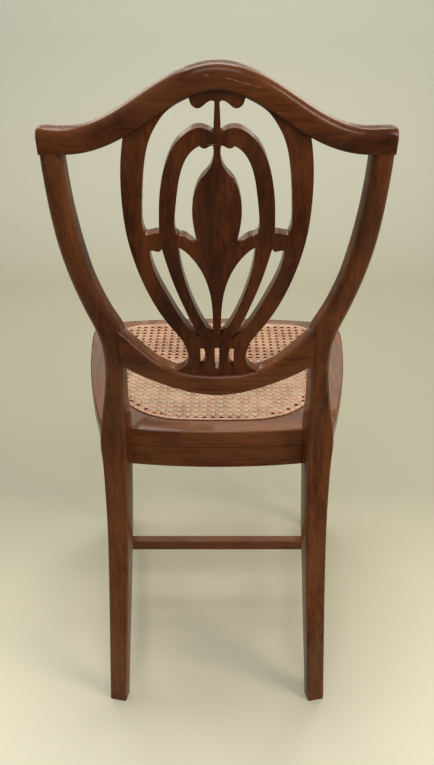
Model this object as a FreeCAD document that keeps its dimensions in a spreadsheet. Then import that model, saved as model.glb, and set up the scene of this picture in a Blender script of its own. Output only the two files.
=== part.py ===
# A shield-back dining chair with a caned seat, in millimetres.
# +Z is up, the sitter faces -Y, and the chair's own left side is +X.
# While the pieces are shaped, Y = 0 is the rear edge of the seat at the middle of the chair.
# A last step moves them all, so that the origin is on the floor under the middle of the chair.
import FreeCAD, Part
import math
import os
from FreeCAD import Placement, Rotation, Vector

doc = FreeCAD.newDocument("ShieldBackChair")
sheet = doc.addObject("Spreadsheet::Sheet", "Sizes")

SIZES = [
    ("seat", None),
    ("seat_height", 455),
    ("seat_depth", 417),
    ("seat_rear_half", 171),
    ("seat_front_half", 230),
    ("seat_rear_bow", 17),
    ("seat_front_bow", 26),
    ("seat_side_bow", 11.5),
    ("seat_corner_radius", 52),
    ("frame_thickness", 26),
    ("frame_edge_radius", 3),
    ("caning", None),
    ("cane_rear_margin", 35),
    ("cane_front_margin", 33),
    ("cane_rear_inset", 35),
    ("cane_front_inset", 41),
    ("cane_rear_bow", 12),
    ("cane_front_bow", 12),
    ("cane_side_bow", 3),
    ("cane_rear_radius", 105),
    ("cane_front_radius", 55),
    ("cane_ledge", 11),
    ("cane_pitch", 12.7),
    ("peg_hole", 5),
    ("cane_thickness", 2.2),
    ("binder_width", 6),
    ("binder_height", 2.8),
    ("net_pitch", 21),
    ("net_gap", 13.5),
    ("aprons", None),
    ("apron_height", 36),
    ("apron_thickness", 20),
    ("rear_apron_thickness", 20),
    ("rear_apron_setback", 2),
    ("front_apron_recess", 5),
    ("front_apron_bow", 15),
    ("side_apron_recess", 4),
    ("side_apron_bow", 11),
    ("front legs", None),
    ("leg_side_inset", 24),
    ("leg_front_inset", 37),
    ("leg_top", 38),
    ("leg_foot", 24),
    ("leg_edge_radius", 1.5),
    ("stretchers", None),
    ("stretcher_level", 121.5),
    ("stretcher_tall", 19),
    ("stretcher_thick", 16),
    ("cross_stretcher_back", 156),
    ("back", None),
    ("back_rake", 11.3),
    ("back_radius", 850),
    ("back_reach", 21),
    ("shield_height", 513.3),
    ("crest_rise", 74),
    ("crest_hump", 172),
    ("crest_half", 198),
    ("ear_drop", 3),
    ("crest_tall", 26),
    ("crest_depth", 22),
    ("rail_depth", 23),
    ("rail_bottom", 80),
    ("rail_middle", 33.2),
    ("splat_thickness", 14),
    ("splat_inset", 5),
    ("splat_tongue", 7),
    ("post_turn", 12),
    ("joinery", None),
    ("tenon_length", 15),
    ("tenon_thick", 7),
    ("tenon_shoulder", 5),
    ("joint_step", 0.3),
    ("dowel_diameter", 8),
    ("dowel_length", 32),
    ("block_arm", 75),
    ("block_height", 30),
    ("screw_diameter", 4),
    ("screw_head", 8),
    ("screw_head_height", 3),
    ("leg_screw_length", 42),
    ("seat_screw_length", 48),
]


def fill_sheet():
    for row, (name, value) in enumerate(SIZES, start=1):
        sheet.set("A%d" % row, name)
        if value is not None:
            sheet.set("B%d" % row, str(value))
            sheet.setAlias("B%d" % row, name)
    doc.recompute()


fill_sheet()


def size(name):
    return float(sheet.get(name))


# Levels and lines that several pieces share.
seat_top = size("seat_height")
frame_bottom = seat_top - size("frame_thickness")
apron_bottom = frame_bottom - size("apron_height")
rake = math.radians(size("back_rake"))
turn = math.radians(size("post_turn"))
radius = size("back_radius")
leg_outer = size("seat_front_half") - size("leg_side_inset")
leg_front = size("leg_front_inset") - size("seat_depth")
leg_back = leg_front + size("leg_top")
leg_inner = leg_outer - size("leg_top")

# The back was drawn for these heights above the seat, and is stretched to the sizes in the sheet.
DRAWN_BOTTOM = 80
DRAWN_EAR = 410.6
DRAWN_CREST = 513.3
DRAWN_SEAT_HALF = 171
DRAWN_CREST_HALF = 198

# The rear post, by height above the seat's top: outer edge, inner edge, depth, rear rounding.
POST = [
    (-167, 165.5, 134.2, 29, 3.5),
    (-55, 167.3, 132.4, 34, 4.0),
    (-15, 169.8, 131.8, 36, 4.5),
    (25, 165.0, 131.6, 34, 5.0),
    (65, 158.0, 131.0, 30, 6.0),
    (109, 152.4, 128.0, 26, 7.0),
    (150, 152.8, 124.8, 24, 7.5),
    (177, 158.8, 124.8, 24, 8.0),
    (190, 163.4, 129.6, 24, 8.0),
    (211, 170.8, 140.4, 24, 8.0),
    (250, 182.8, 155.0, 24, 8.0),
    (301, 193.0, 166.0, 24, 8.0),
    (362, 198.0, 172.8, 23, 8.0),
    (436, 199.2, 174.4, 21.4, 8.0),
]
POST_FOOT = (173.3, 147.2, 20, 3.0)
# How far the leg's rear face stands behind the seat's rear edge, by height above the seat's top.
LEG_SWEEP = [(-311, 62), (-167, 37), (-75, 20), (-15, 11)]
LEG_FOOT_REACH = 88

# The lower shield rail, by distance from the middle: height above its lowest point.
RAIL_TOP = [(0, 33.2), (30, 35), (50, 39.4), (70, 47.8), (88, 60.8), (104, 77.2), (121, 95), (128, 102.6)]
RAIL_UNDER = [(0, 0), (30, 3.6), (62, 13.1), (92, 24.7), (121, 39), (128, 43)]


def eased(points, at):
    """A smooth curve through (place, value) points, with the slope of its neighbours at each."""
    last = len(points) - 1

    def slope(i):
        a = points[max(i - 1, 0)]
        b = points[min(i + 1, last)]
        return (b[1] - a[1]) / (b[0] - a[0])

    i = 0
    while i < last - 1 and at > points[i + 1][0]:
        i += 1
    (x0, y0), (x1, y1) = points[i], points[i + 1]
    span = x1 - x0
    t = (at - x0) / span
    rise = y1 - y0
    start = slope(i) * span
    end = slope(i + 1) * span
    return y0 + t * (start + t * (3 * rise - 2 * start - end + t * (start + end - 2 * rise)))


def bow(x, inset=0.0):
    """How far forward of its middle the back's curved surface lies, at x."""
    r = radius - inset
    return math.sqrt(r * r - x * x) - radius


def back_point(x, up, rear):
    """A point given on the raked back: across, along the rake from the seat's top, rearward."""
    y = size("back_reach") + up * math.sin(rake) + rear * math.cos(rake)
    z = seat_top + up * math.cos(rake) - rear * math.sin(rake)
    return Vector(x, y, z)


def back_y(x, z):
    """The rear surface of the back, at x and at the height z."""
    rear = bow(x)
    up = (z - seat_top + rear * math.sin(rake)) / math.cos(rake)
    return back_point(x, up, rear).y


def stretched(drawn, drawn_top, top):
    """A drawn height of the back, moved with the rail below it and the crest above it."""
    low = size("rail_bottom")
    if drawn <= 0:
        return drawn
    if drawn < DRAWN_BOTTOM:
        return drawn * low / DRAWN_BOTTOM
    return low + (drawn - DRAWN_BOTTOM) * (top - low) / (drawn_top - DRAWN_BOTTOM)


def crest_top(x):
    """The serpentine top of the crest rail, measured along the rake."""
    ear = size("shield_height") - size("crest_rise")
    hump = size("crest_hump")
    if abs(x) < hump:
        return ear + size("crest_rise") * (1 + math.cos(math.pi * x / hump)) / 2
    return ear - size("ear_drop") * (abs(x) - hump) / (DRAWN_CREST_HALF - DRAWN_SEAT_HALF)


def crest_bottom(x):
    step = 1.0
    slope = (crest_top(x + step) - crest_top(x - step)) / (2 * step)
    return crest_top(x) - size("crest_tall") * math.hypot(1, slope)


def rounded_curves(corners, radii):
    """Arcs and lines that go round the corners, each corner rounded by its own radius."""
    count = len(corners)
    starts, middles, ends = [], [], []
    for i, corner in enumerate(corners):
        before = (corners[i - 1] - corner).normalize()
        after = (corners[(i + 1) % count] - corner).normalize()
        half = before.getAngle(after) / 2
        reach = radii[i] / math.tan(half)
        inward = (before + after).normalize()
        starts.append(corner + before * reach)
        ends.append(corner + after * reach)
        middles.append(corner + inward * (radii[i] / math.sin(half) - radii[i]))
    curves = []
    for i in range(count):
        curves.append(Part.Arc(starts[i], middles[i], ends[i]))
        curves.append(Part.LineSegment(ends[i], starts[(i + 1) % count]))
    return curves


def rounded(corners, radii):
    return Part.Wire([curve.toShape() for curve in rounded_curves(corners, radii)])


def pierced(wires):
    """A face inside the first wire, with the other wires as holes in it."""
    face = Part.Face(wires)
    face.validate()
    return face


def bowed(corners, bows, radii):
    """A closed outline in the plan: each side is an arc, and the corners are rounded."""
    edges = []
    count = len(corners)
    for i, start in enumerate(corners):
        end = corners[(i + 1) % count]
        along = (end - start).normalize()
        outward = Vector(-along.y, along.x, 0)
        middle = (start + end) * 0.5 + outward * bows[i]
        edges.append(Part.Arc(start, middle, end).toShape())
    plate = Part.Face(Part.Wire(edges)).extrude(Vector(0, 0, 10))
    for corner, corner_radius in zip(corners, radii):
        if corner_radius == 0:
            continue
        for edge in plate.Edges:
            ends = [vertex.Point for vertex in edge.Vertexes]
            if all(math.hypot(p.x - corner.x, p.y - corner.y) < 0.01 for p in ends):
                plate = plate.makeFillet(corner_radius, [edge])
                break
    bottom = min(plate.Faces, key=lambda face: face.CenterOfMass.z)
    return bottom.OuterWire


def inset(outline, distance):
    """The outline moved in by a distance, or out where it is negative, in clean arcs and lines."""
    edges = []
    for edge in outline.makeOffset2D(-distance).Edges:
        first, last = edge.FirstParameter, edge.LastParameter
        start, end = edge.valueAt(first), edge.valueAt(last)
        middle = edge.valueAt((first + last) / 2)
        if abs((end - start).getAngle(middle - start)) < 1e-7:
            edges.append(Part.LineSegment(start, end).toShape())
        else:
            edges.append(Part.Arc(start, middle, end).toShape())
    return Part.Wire(Part.sortEdges(edges)[0])


def polygon(points):
    return Part.makePolygon([Vector(p[0], p[1], 0) for p in points] + [Vector(*points[0][:2], 0)])


# Small makers of document objects.
def shape_object(name, shape):
    piece = doc.addObject("Part::Feature", name)
    piece.Shape = shape
    return piece


def joined(name, parts):
    piece = doc.addObject("Part::MultiFuse", name)
    piece.Shapes = parts
    return piece


def cut(name, base, tools):
    tool = tools[0] if len(tools) == 1 else joined(name + "_cutters", tools)
    piece = doc.addObject("Part::Cut", name)
    piece.Base = base
    piece.Tool = tool
    return piece


def kept(name, first, second):
    piece = doc.addObject("Part::Common", name)
    piece.Base = first
    piece.Tool = second
    return piece


def mirrored(name, source):
    piece = doc.addObject("Part::Mirroring", name)
    piece.Source = source
    piece.Normal = Vector(1, 0, 0)
    return piece


def group(name, parts):
    piece = doc.addObject("Part::Compound", name)
    piece.Links = parts
    return piece


def both(piece):
    """The piece and its mirror image, to cut something in the middle of the chair."""
    return group(piece.Name + "_pair", [piece, mirrored(piece.Name + "_mirrored", piece)])


def towards(start, end):
    return Placement(start, Rotation(Vector(0, 0, 1), end - start))


def extruded(name, face, low, height):
    """A plate of the given face, standing on the height low."""
    outline = shape_object(name + "_outline", face)
    outline.Placement = Placement(Vector(0, 0, low), Rotation())
    piece = doc.addObject("Part::Extrusion", name)
    piece.Base = outline
    piece.Dir = Vector(0, 0, 1)
    piece.DirMode = "Custom"
    piece.Solid = True
    piece.setExpression("LengthFwd", height)
    return piece


def bar(name, start, end, thick, tall):
    """A straight bar lying from start to end, both at the middle of its section."""
    run = end - start
    piece = doc.addObject("Part::Box", name)
    piece.Length = run.Length
    piece.setExpression("Width", thick)
    piece.setExpression("Height", tall)
    doc.recompute()
    angle = math.degrees(math.atan2(run.y, run.x))
    lift = -math.degrees(math.asin(run.z / run.Length))
    turned = Rotation(angle, lift, 0)
    middle = turned.multVec(Vector(0, piece.Width.Value / 2, piece.Height.Value / 2))
    piece.Placement = Placement(start - middle, turned)
    return piece


def dowel(name, middle, direction):
    piece = doc.addObject("Part::Cylinder", name)
    piece.setExpression("Radius", "Sizes.dowel_diameter / 2")
    piece.setExpression("Height", "Sizes.dowel_length")
    half = direction.normalize() * (size("dowel_length") / 2)
    piece.Placement = towards(middle - half, middle + half)
    return piece


def screw(name, head, direction, length):
    """A countersunk wood screw whose head lies flush at the point head."""
    shank = doc.addObject("Part::Cylinder", name + "_shank")
    shank.setExpression("Radius", "Sizes.screw_diameter / 2")
    shank.setExpression("Height", "Sizes." + length)
    shank.Placement = towards(head, head + direction)
    cone = doc.addObject("Part::Cone", name + "_head")
    cone.setExpression("Radius1", "Sizes.screw_head / 2")
    cone.setExpression("Radius2", "Sizes.screw_diameter / 2")
    cone.setExpression("Height", "Sizes.screw_head_height")
    cone.Placement = towards(head, head + direction)
    return joined(name, [shank, cone])


def sketched(body, name, curves, level):
    """A sketch on the body's ground plane, raised to the level."""
    sketch = body.newObject("Sketcher::SketchObject", name)
    plane = [item for item in body.Origin.OriginFeatures if item.Role == "XY_Plane"][0]
    sketch.AttachmentSupport = [(plane, "")]
    sketch.MapMode = "FlatFace"
    sketch.AttachmentOffset = Placement(Vector(0, 0, level), Rotation())
    for piece in curves:
        sketch.addGeometry(piece, False)
    return sketch


def padded(name, points, level, height):
    """A body padded up from its corner points."""
    body = doc.addObject("PartDesign::Body", name)
    corners = [Vector(point[0], point[1], 0) for point in points]
    sides = [Part.LineSegment(corner, corners[(i + 1) % len(corners)]) for i, corner in enumerate(corners)]
    outline = sketched(body, name + "_sketch", sides, level)
    pad = body.newObject("PartDesign::Pad", name + "_pad")
    pad.Profile = outline
    pad.setExpression("Length", height)
    body.Tip = pad
    return body


# The rear posts: each leg and its side of the shield are sawn from one plank.
def post_rows():
    """The rows of the post's drawing, moved to the sheet's seat and crest sizes."""
    widen_seat = size("seat_rear_half") - DRAWN_SEAT_HALF
    widen_crest = size("crest_half") - DRAWN_CREST_HALF
    ear = crest_bottom(DRAWN_CREST_HALF - size("crest_depth") / 2)
    outer, inner, depth, edge = POST_FOOT
    rows = [(0, outer + widen_seat, inner + widen_seat, depth, edge)]
    for up, outer, inner, depth, edge in POST:
        share = min(max((up - DRAWN_BOTTOM) / (DRAWN_EAR - DRAWN_BOTTOM), 0), 1)
        widen = widen_seat + share * (widen_crest - widen_seat)
        level = stretched(up, DRAWN_EAR, ear)
        rows.append((seat_top + level, outer + widen, inner + widen, depth, edge))
    return rows


ROWS = post_rows()


def post_frame(z):
    """The rear post at a height: the middle of its rear face, its axes, width and depth."""
    outer = eased([(row[0], row[1]) for row in ROWS], z)
    inner = eased([(row[0], row[2]) for row in ROWS], z)
    depth = eased([(row[0], row[3]) for row in ROWS], z)
    middle = (outer + inner) / 2
    above = [seat_top + up for up in (45, 105, 165)]
    sweep = [(0, LEG_FOOT_REACH)] + [(seat_top + up, reach) for up, reach in LEG_SWEEP]
    sweep += [(level, back_y(middle, level) - size("joint_step")) for level in above]
    if z <= above[0]:
        y = eased(sweep, z)
    else:
        y = back_y(middle, z) - size("joint_step")
    across = Vector(math.cos(turn), -math.sin(turn), 0)
    forward = Vector(-math.sin(turn), -math.cos(turn), 0)
    width = (outer - inner) / math.cos(turn)
    return Vector(middle, y, z), across, forward, width, depth


def post_corners(z):
    """Outer rear, inner rear, inner front and outer front corners of the post at a height."""
    middle, across, forward, width, depth = post_frame(z)
    outer = middle + across * (width / 2)
    inner = middle - across * (width / 2)
    return [outer, inner, inner + forward * depth, outer + forward * depth]


def post_blank():
    front_radius = 2.0
    levels = 36
    below_crest_top = 7
    top = back_point(0, crest_top(DRAWN_CREST_HALF - size("crest_depth") / 2), 0).z - below_crest_top
    sections = []
    for i in range(levels + 1):
        z = top * i / levels
        rear_radius = eased([(row[0], row[4]) for row in ROWS], z)
        radii = [rear_radius, rear_radius, front_radius, front_radius]
        sections.append(rounded(post_corners(z), radii))
    return shape_object("post_blank", Part.makeLoft(sections, True, False))


# The rails of the back are lofted through sections that stand across the chair.
def rail_section(x, low, high, depth, radii, spread=0.0):
    """One section of a rail; spread grows it to the rear and the front."""
    rear = bow(x) + spread
    front = rear - depth - 2 * spread
    corners = [
        back_point(x, high, rear),
        back_point(x, low, rear),
        back_point(x, low, front),
        back_point(x, high, front),
    ]
    return rounded(corners, radii)


def crest_loft(name, groove, spread, radii_at):
    """The crest rail, or with a groove or a spread the space that it needs in other pieces."""
    stations = 18
    half = size("crest_half")
    sections = []
    for i in range(stations + 1):
        x = half * (2 * i / stations - 1)
        low = crest_bottom(x) + groove
        depth = size("crest_depth")
        sections.append(rail_section(x, low, crest_top(x) + spread, depth, radii_at(x), spread))
    return shape_object(name, Part.makeLoft(sections, True, False))


def crest_radii(x):
    """The crest's rounding: rear top, rear bottom, front bottom, front top. Square over the posts."""
    post_share = min(max((abs(x) - 140) / 25, 0), 1)
    return [9, 5 - 4.2 * post_share, 2 - 1.2 * post_share, 2.5]


def sharp_radii(x):
    return [0.5] * 4


def rail_half():
    """The lower shield rail ends inside the posts' inner faces."""
    into_post = 2.5
    joint = seat_top + stretched(150, DRAWN_EAR, crest_bottom(DRAWN_SEAT_HALF))
    return post_corners(joint)[1].x + into_post


def rail_blank(name, groove, radii):
    stations = 18
    half = rail_half()
    drawn_half = RAIL_TOP[-1][0]
    drawn_middle = RAIL_TOP[0][1]
    sections = []
    for i in range(stations + 1):
        share = 2 * i / stations - 1
        place = abs(share) * drawn_half
        low = size("rail_bottom") + eased(RAIL_UNDER, place)
        top = size("rail_bottom") + eased(RAIL_TOP, place) - drawn_middle + size("rail_middle")
        sections.append(rail_section(share * half, low, top - groove, size("rail_depth"), radii))
    return shape_object(name, Part.makeLoft(sections, True, False))


# The splat's fretwork, drawn across and up from the seat. Each run is one smooth curve, and
# the runs meet in corners. The openings repeat on the other side.
BOARD = [
    [(101.3, 435), (106.8, 398.7), (108.2, 365.5), (105.7, 318.1), (94.9, 268.6), (84.3, 238.5),
     (67.8, 204.7), (53.3, 182.8), (43.2, 167), (38.6, 152), (37.2, 142), (40.9, 130.1), (50.1, 121.8)],
]
BOARD_FOOT = [(57, 117), (57, 106)]
BOARD_TOP = [(0, 507), (30, 501), (55, 488), (99.5, 457)]
UPPER_SIDE = [
    [(29.4, 479.2), (38, 475), (46.7, 469.8), (55.6, 462.2), (63.6, 451.4), (70.2, 439.7), (78.5, 413.8), (82.8, 386), (86, 346.1), (86.1, 332.5),
     (83.2, 319.9)],
    [(83.2, 319.9), (78, 320.5), (73.3, 321.9), (67.3, 322.6)],
    [(67.3, 322.6), (66.8, 339.8), (64.4, 372.5), (57.1, 405.5), (44.1, 431.7), (35.3, 440.6),
     (26.7, 446.3), (18.3, 448.1), (9.9, 446), (4, 442.6)],
    [(4, 442.6), (2.6, 474.8)],
    [(2.6, 474.8), (4.7, 476.5), (11.3, 474), (15.6, 470.4), (20, 468.4), (24.2, 469.7), (27.6, 473.2)],
    [(27.6, 473.2), (29.4, 479.2)],
]
LOWER_SIDE = [
    [(79.7, 298.3), (73.7, 267.1), (61, 236.9), (44.1, 202.8), (31, 183.6), (18.4, 172.2)],
    [(18.4, 172.2), (27.5, 187.7), (40.3, 219), (51.3, 250), (61.4, 286.3), (65.1, 302.2)],
    [(65.1, 302.2), (71.3, 298.3), (76, 299.4), (79.7, 298.3)],
]
UPPER_LEAF = [
    [(18.9, 428.1), (27.2, 422.3), (38, 404.1), (44.1, 377.9), (48, 347.7), (48.9, 331.3), (47.9, 323.5)],
    [(47.9, 323.5), (43.4, 320.2)],
    [(43.4, 320.2), (38.6, 319.5), (34, 316.9), (27.8, 311.8), (22.4, 307.4)],
    [(22.4, 307.4), (25.2, 321.5), (28.3, 348.1), (25.5, 373.5), (16.5, 392.5), (9.3, 400.8), (5.8, 408.1),
     (4.4, 428.6)],
    [(4.4, 428.6), (8.3, 427.7), (12.6, 425.5), (16, 425.9), (18.9, 428.1)],
]
LOWER_LEAF = [
    [(45, 304.7), (39.1, 300.8), (32.1, 293.8), (17.2, 269.9), (7.7, 236.3), (5.1, 199.7), (4.7, 178.6)],
    [(4.7, 178.6), (10.5, 187), (22.1, 209.4), (32.5, 237.9), (41.6, 273.2), (45, 304.7)],
]
SIDE_SLOT = [
    [(21.7, 157.4), (17.5, 158.2)],
    [(17.5, 158.2), (15.6, 152), (15, 145), (16, 136.5), (18.8, 129.4), (21.2, 126.2)],
    [(21.2, 126.2), (21.9, 141), (21.7, 157.4)],
]
MIDDLE_SLOT = ((-2.9, 125.4), (2.9, 158.9))
SLOT_ROUNDING = 1.5


def splat_point(x, drawn):
    """A point of the drawing, on the plane in which the board is sawn."""
    return back_point(x, stretched(drawn, DRAWN_CREST, size("shield_height")), 0)


def curve(points, side):
    places = [splat_point(side * x, up) for x, up in points]
    if len(places) == 2:
        return Part.LineSegment(places[0], places[1]).toShape()
    spline = Part.BSplineCurve()
    spline.interpolate(places)
    return spline.toShape()


def opening(runs, side):
    return Part.Wire([curve(run, side) for run in runs])


def slot(low, high):
    corners = [(low[0], low[1]), (high[0], low[1]), (high[0], high[1]), (low[0], high[1])]
    places = [splat_point(x, up) for x, up in corners]
    return rounded(places, [SLOT_ROUNDING] * 4)


def board_outline():
    edges = []
    for side in (1, -1):
        lines = [BOARD_TOP[i:i + 2] for i in range(len(BOARD_TOP) - 1)]
        lines += [[BOARD_TOP[-1], BOARD[0][0]]]
        lines += [[BOARD[0][-1], BOARD_FOOT[0]], BOARD_FOOT, [BOARD_FOOT[1], (0, BOARD_FOOT[1][1])]]
        edges += [curve(run, side) for run in lines + BOARD]
    return Part.Wire(Part.sortEdges(edges)[0])


def splat_board():
    """The fretted board: its outline, kept to a slab that follows the bow of the back."""
    holes = [slot(*MIDDLE_SLOT)]
    for side in (1, -1):
        for runs in (UPPER_SIDE, LOWER_SIDE, UPPER_LEAF, LOWER_LEAF, SIDE_SLOT):
            holes.append(opening(runs, side))
    flat = shape_object("splat_fretwork", pierced([board_outline()] + holes))
    sawn = doc.addObject("Part::Extrusion", "splat_sawn")
    sawn.Base = flat
    sawn.Dir = Vector(0, -math.cos(rake), math.sin(rake))
    sawn.DirMode = "Custom"
    sawn.Solid = True
    sawn.LengthFwd = 45
    half = 115
    low = 60
    edges = []
    for inset in (size("splat_inset"), size("splat_inset") + size("splat_thickness")):
        side = back_point(half, low, bow(half, inset))
        other = back_point(-half, low, bow(half, inset))
        edges.append(Part.Arc(side, back_point(0, low, bow(0, inset)), other).toShape())
    for across in (half, -half):
        ends = [back_point(across, low, bow(half, edge)) for edge in (
            size("splat_inset"), size("splat_inset") + size("splat_thickness"))]
        edges.append(Part.LineSegment(*ends).toShape())
    slice_wire = Part.Wire(Part.sortEdges(edges)[0])
    bent = doc.addObject("Part::Extrusion", "splat_slab")
    bent.Base = shape_object("splat_slice", Part.Face(slice_wire))
    bent.Dir = Vector(0, math.sin(rake), math.cos(rake))
    bent.DirMode = "Custom"
    bent.Solid = True
    bent.setExpression("LengthFwd", "Sizes.shield_height")
    return kept("splat_board", sawn, bent)


# The seat: a frame of four sawn pieces round the caned opening, on aprons.
def seat_outline():
    rear = Vector(size("seat_rear_half"), -size("seat_rear_bow"), 0)
    front = Vector(size("seat_front_half"), size("seat_front_bow") - size("seat_depth"), 0)
    corners = [rear, Vector(-rear.x, rear.y, 0), Vector(-front.x, front.y, 0), front]
    side = size("seat_side_bow")
    bows = [-size("seat_rear_bow"), -side, -size("seat_front_bow"), -side]
    round_front = size("seat_corner_radius")
    return bowed(corners, bows, [0, 0, round_front, round_front])


def cane_corners():
    rear = Vector(size("seat_rear_half") - size("cane_rear_inset"), 0, 0)
    rear.y = -size("cane_rear_margin") - size("cane_rear_bow")
    front = Vector(size("seat_front_half") - size("cane_front_inset"), 0, 0)
    front.y = size("cane_front_margin") + size("cane_front_bow") - size("seat_depth")
    return rear, front


def cane_line():
    """The line of the peg holes, which the caning fills."""
    rear, front = cane_corners()
    corners = [rear, Vector(-rear.x, rear.y, 0), Vector(-front.x, front.y, 0), front]
    side = size("cane_side_bow")
    bows = [-size("cane_rear_bow"), -side, -size("cane_front_bow"), -side]
    round_rear = size("cane_rear_radius")
    round_front = size("cane_front_radius")
    return bowed(corners, bows, [round_rear, round_rear, round_front, round_front])


def frame_ring():
    """The whole seat frame in one, with its eased top edge, its opening and its peg holes."""
    plate = extruded("frame_plate", Part.Face(seat_outline()), frame_bottom, "Sizes.frame_thickness")
    doc.recompute()
    eased_plate = doc.addObject("Part::Fillet", "frame_eased")
    eased_plate.Base = plate
    rounding = size("frame_edge_radius")
    edges = []
    for number, edge in enumerate(plate.Shape.Edges, start=1):
        if edge.BoundBox.ZMin > seat_top - 0.01:
            edges.append((number, rounding, rounding))
    eased_plate.Edges = edges
    line = cane_line()
    pegs = max(int(line.Length / size("cane_pitch")), 8)
    faces = [Part.Face(inset(line, size("cane_ledge")))]
    for place in line.discretize(pegs + 1)[:-1]:
        circle = Part.Circle(place, Vector(0, 0, 1), size("peg_hole") / 2)
        faces.append(Part.Face(Part.Wire(circle.toShape())))
    holes = extruded("frame_holes", Part.Compound(faces), frame_bottom, "Sizes.frame_thickness")
    return cut("frame_pierced", eased_plate, [holes])


def joint_lines():
    """The plan lines on which the seat frame's pieces meet, at the rear and the front corner."""
    rear, front = cane_corners()
    rear_way = Vector(14, 17, 0).normalize()
    front_way = Vector(1, -1, 0).normalize()
    inward = 120
    outward = 90
    return [(rear - rear_way * inward, rear + rear_way * outward),
            (front - front_way * inward, front + front_way * outward)]


def sectors():
    """Plan outlines of the rear, front and left sectors of the seat frame."""
    (rear_in, rear_out), (front_in, front_out) = joint_lines()
    far = 400
    rear = [rear_in, rear_out, Vector(rear_out.x, far, 0)]
    rear += [Vector(-p.x, p.y, 0) for p in reversed(rear)]
    front = [front_in, front_out, Vector(front_out.x, -2 * far, 0)]
    front += [Vector(-p.x, p.y, 0) for p in reversed(front)]
    left = [rear_in, rear_out, Vector(far, rear_out.y, 0), Vector(far, front_out.y, 0), front_out, front_in]
    return {"rear": rear, "front": front, "left": left}


def sector_solid(name, points):
    return extruded("sector_" + name, Part.Face(polygon(points)), frame_bottom - 10, "Sizes.frame_thickness + 20")


def within(ring, point):
    """Whether a point of the plan lies inside a closed ring of points."""
    inside = False
    for first, second in zip(ring, ring[1:] + ring[:1]):
        if (first.y > point.y) != (second.y > point.y):
            share = (point.y - first.y) / (second.y - first.y)
            if point.x < first.x + share * (second.x - first.x):
                inside = not inside
    return inside


def net_face():
    """The caning inside the binder, as one sheet with square gaps."""
    half_binder = size("binder_width") / 2
    line = inset(cane_line(), half_binder)
    bounds = line.BoundBox
    pitch = size("net_pitch")
    gap = size("net_gap")
    edge_margin = 2
    wires = [line]
    limit = inset(cane_line(), half_binder + edge_margin).discretize(240)
    columns = int(bounds.XMax / pitch) + 1
    rows = int(bounds.YLength / pitch) + 1
    middle = (bounds.YMin + bounds.YMax) / 2
    for row in range(-rows, rows + 1):
        for column in range(-columns, columns + 1):
            x = column * pitch
            y = middle + row * pitch
            low = Vector(x - gap / 2, y - gap / 2, 0)
            corners = [low, low + Vector(gap, 0, 0), low + Vector(gap, gap, 0), low + Vector(0, gap, 0)]
            if all(within(limit, corner) for corner in corners):
                wires.append(polygon([(c.x, c.y) for c in corners]))
    return pierced(wires)


def front_leg():
    """A square front leg that tapers on its two inner faces."""
    def square(across):
        corners = [
            Vector(leg_outer - across, leg_front, 0),
            Vector(leg_outer, leg_front, 0),
            Vector(leg_outer, leg_front + across, 0),
            Vector(leg_outer - across, leg_front + across, 0),
        ]
        return rounded_curves(corners, [size("leg_edge_radius")] * 4)

    body = doc.addObject("PartDesign::Body", "front_leg_body")
    foot = sketched(body, "front_leg_foot", square(size("leg_foot")), 0)
    top = sketched(body, "front_leg_top", square(size("leg_top")), frame_bottom)
    taper = body.newObject("PartDesign::AdditiveLoft", "front_leg_taper")
    taper.Profile = foot
    taper.Sections = [top]
    taper.Ruled = True
    body.Tip = taper
    return body


def apron_mid():
    return (apron_bottom + frame_bottom) / 2


def side_apron_line(inset):
    """The side apron's outer face in the plan, or a line set in from it: its ends and middle."""
    corner = post_corners(apron_mid())[3]
    start = Vector(corner.x - 1 - inset, corner.y, 0)
    end = Vector(leg_outer - size("side_apron_recess") - inset, leg_back, 0)
    middle = (start + end) * 0.5 + Vector(size("side_apron_bow"), 0, 0)
    return start, middle, end


def side_apron_blank():
    """The side apron's board, long enough to reach into the post and the leg."""
    reach = 8
    edges = []
    ends = []
    for inset in (0, size("apron_thickness")):
        start, middle, end = side_apron_line(inset)
        start_run = Vector(start.x, start.y + reach, 0)
        end_run = Vector(end.x, end.y - reach, 0)
        edges.append(Part.Arc(start, middle, end).toShape())
        edges.append(Part.LineSegment(start, start_run).toShape())
        edges.append(Part.LineSegment(end, end_run).toShape())
        ends.append((start_run, end_run))
    for i in (0, 1):
        edges.append(Part.LineSegment(ends[0][i], ends[1][i]).toShape())
    return extruded("side_apron_blank", Part.Face(Part.Wire(Part.sortEdges(edges)[0])), apron_bottom,
                    "Sizes.apron_height")


def arc_board(name, half, outer, outer_bow, inner, inner_bow):
    """A board across the chair whose faces are arcs; outer and inner are y at the middle."""
    edges = []
    for y, rise in ((outer, outer_bow), (inner, inner_bow)):
        ends = [Vector(half, y - rise, 0), Vector(-half, y - rise, 0)]
        if rise == 0:
            edges.append(Part.LineSegment(*ends).toShape())
        else:
            edges.append(Part.Arc(ends[0], Vector(0, y, 0), ends[1]).toShape())
    for side in (half, -half):
        ends = [Vector(side, outer - outer_bow, 0), Vector(side, inner - inner_bow, 0)]
        edges.append(Part.LineSegment(*ends).toShape())
    board = Part.Face(Part.Wire(Part.sortEdges(edges)[0]))
    return extruded(name, board, apron_bottom, "Sizes.apron_height")


def tenon(name, start, end):
    return bar(name, start, end, "Sizes.tenon_thick", "Sizes.apron_height - 2 * Sizes.tenon_shoulder")


def at(x, y, z):
    return Vector(x, y, z)


pieces = {}


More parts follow.
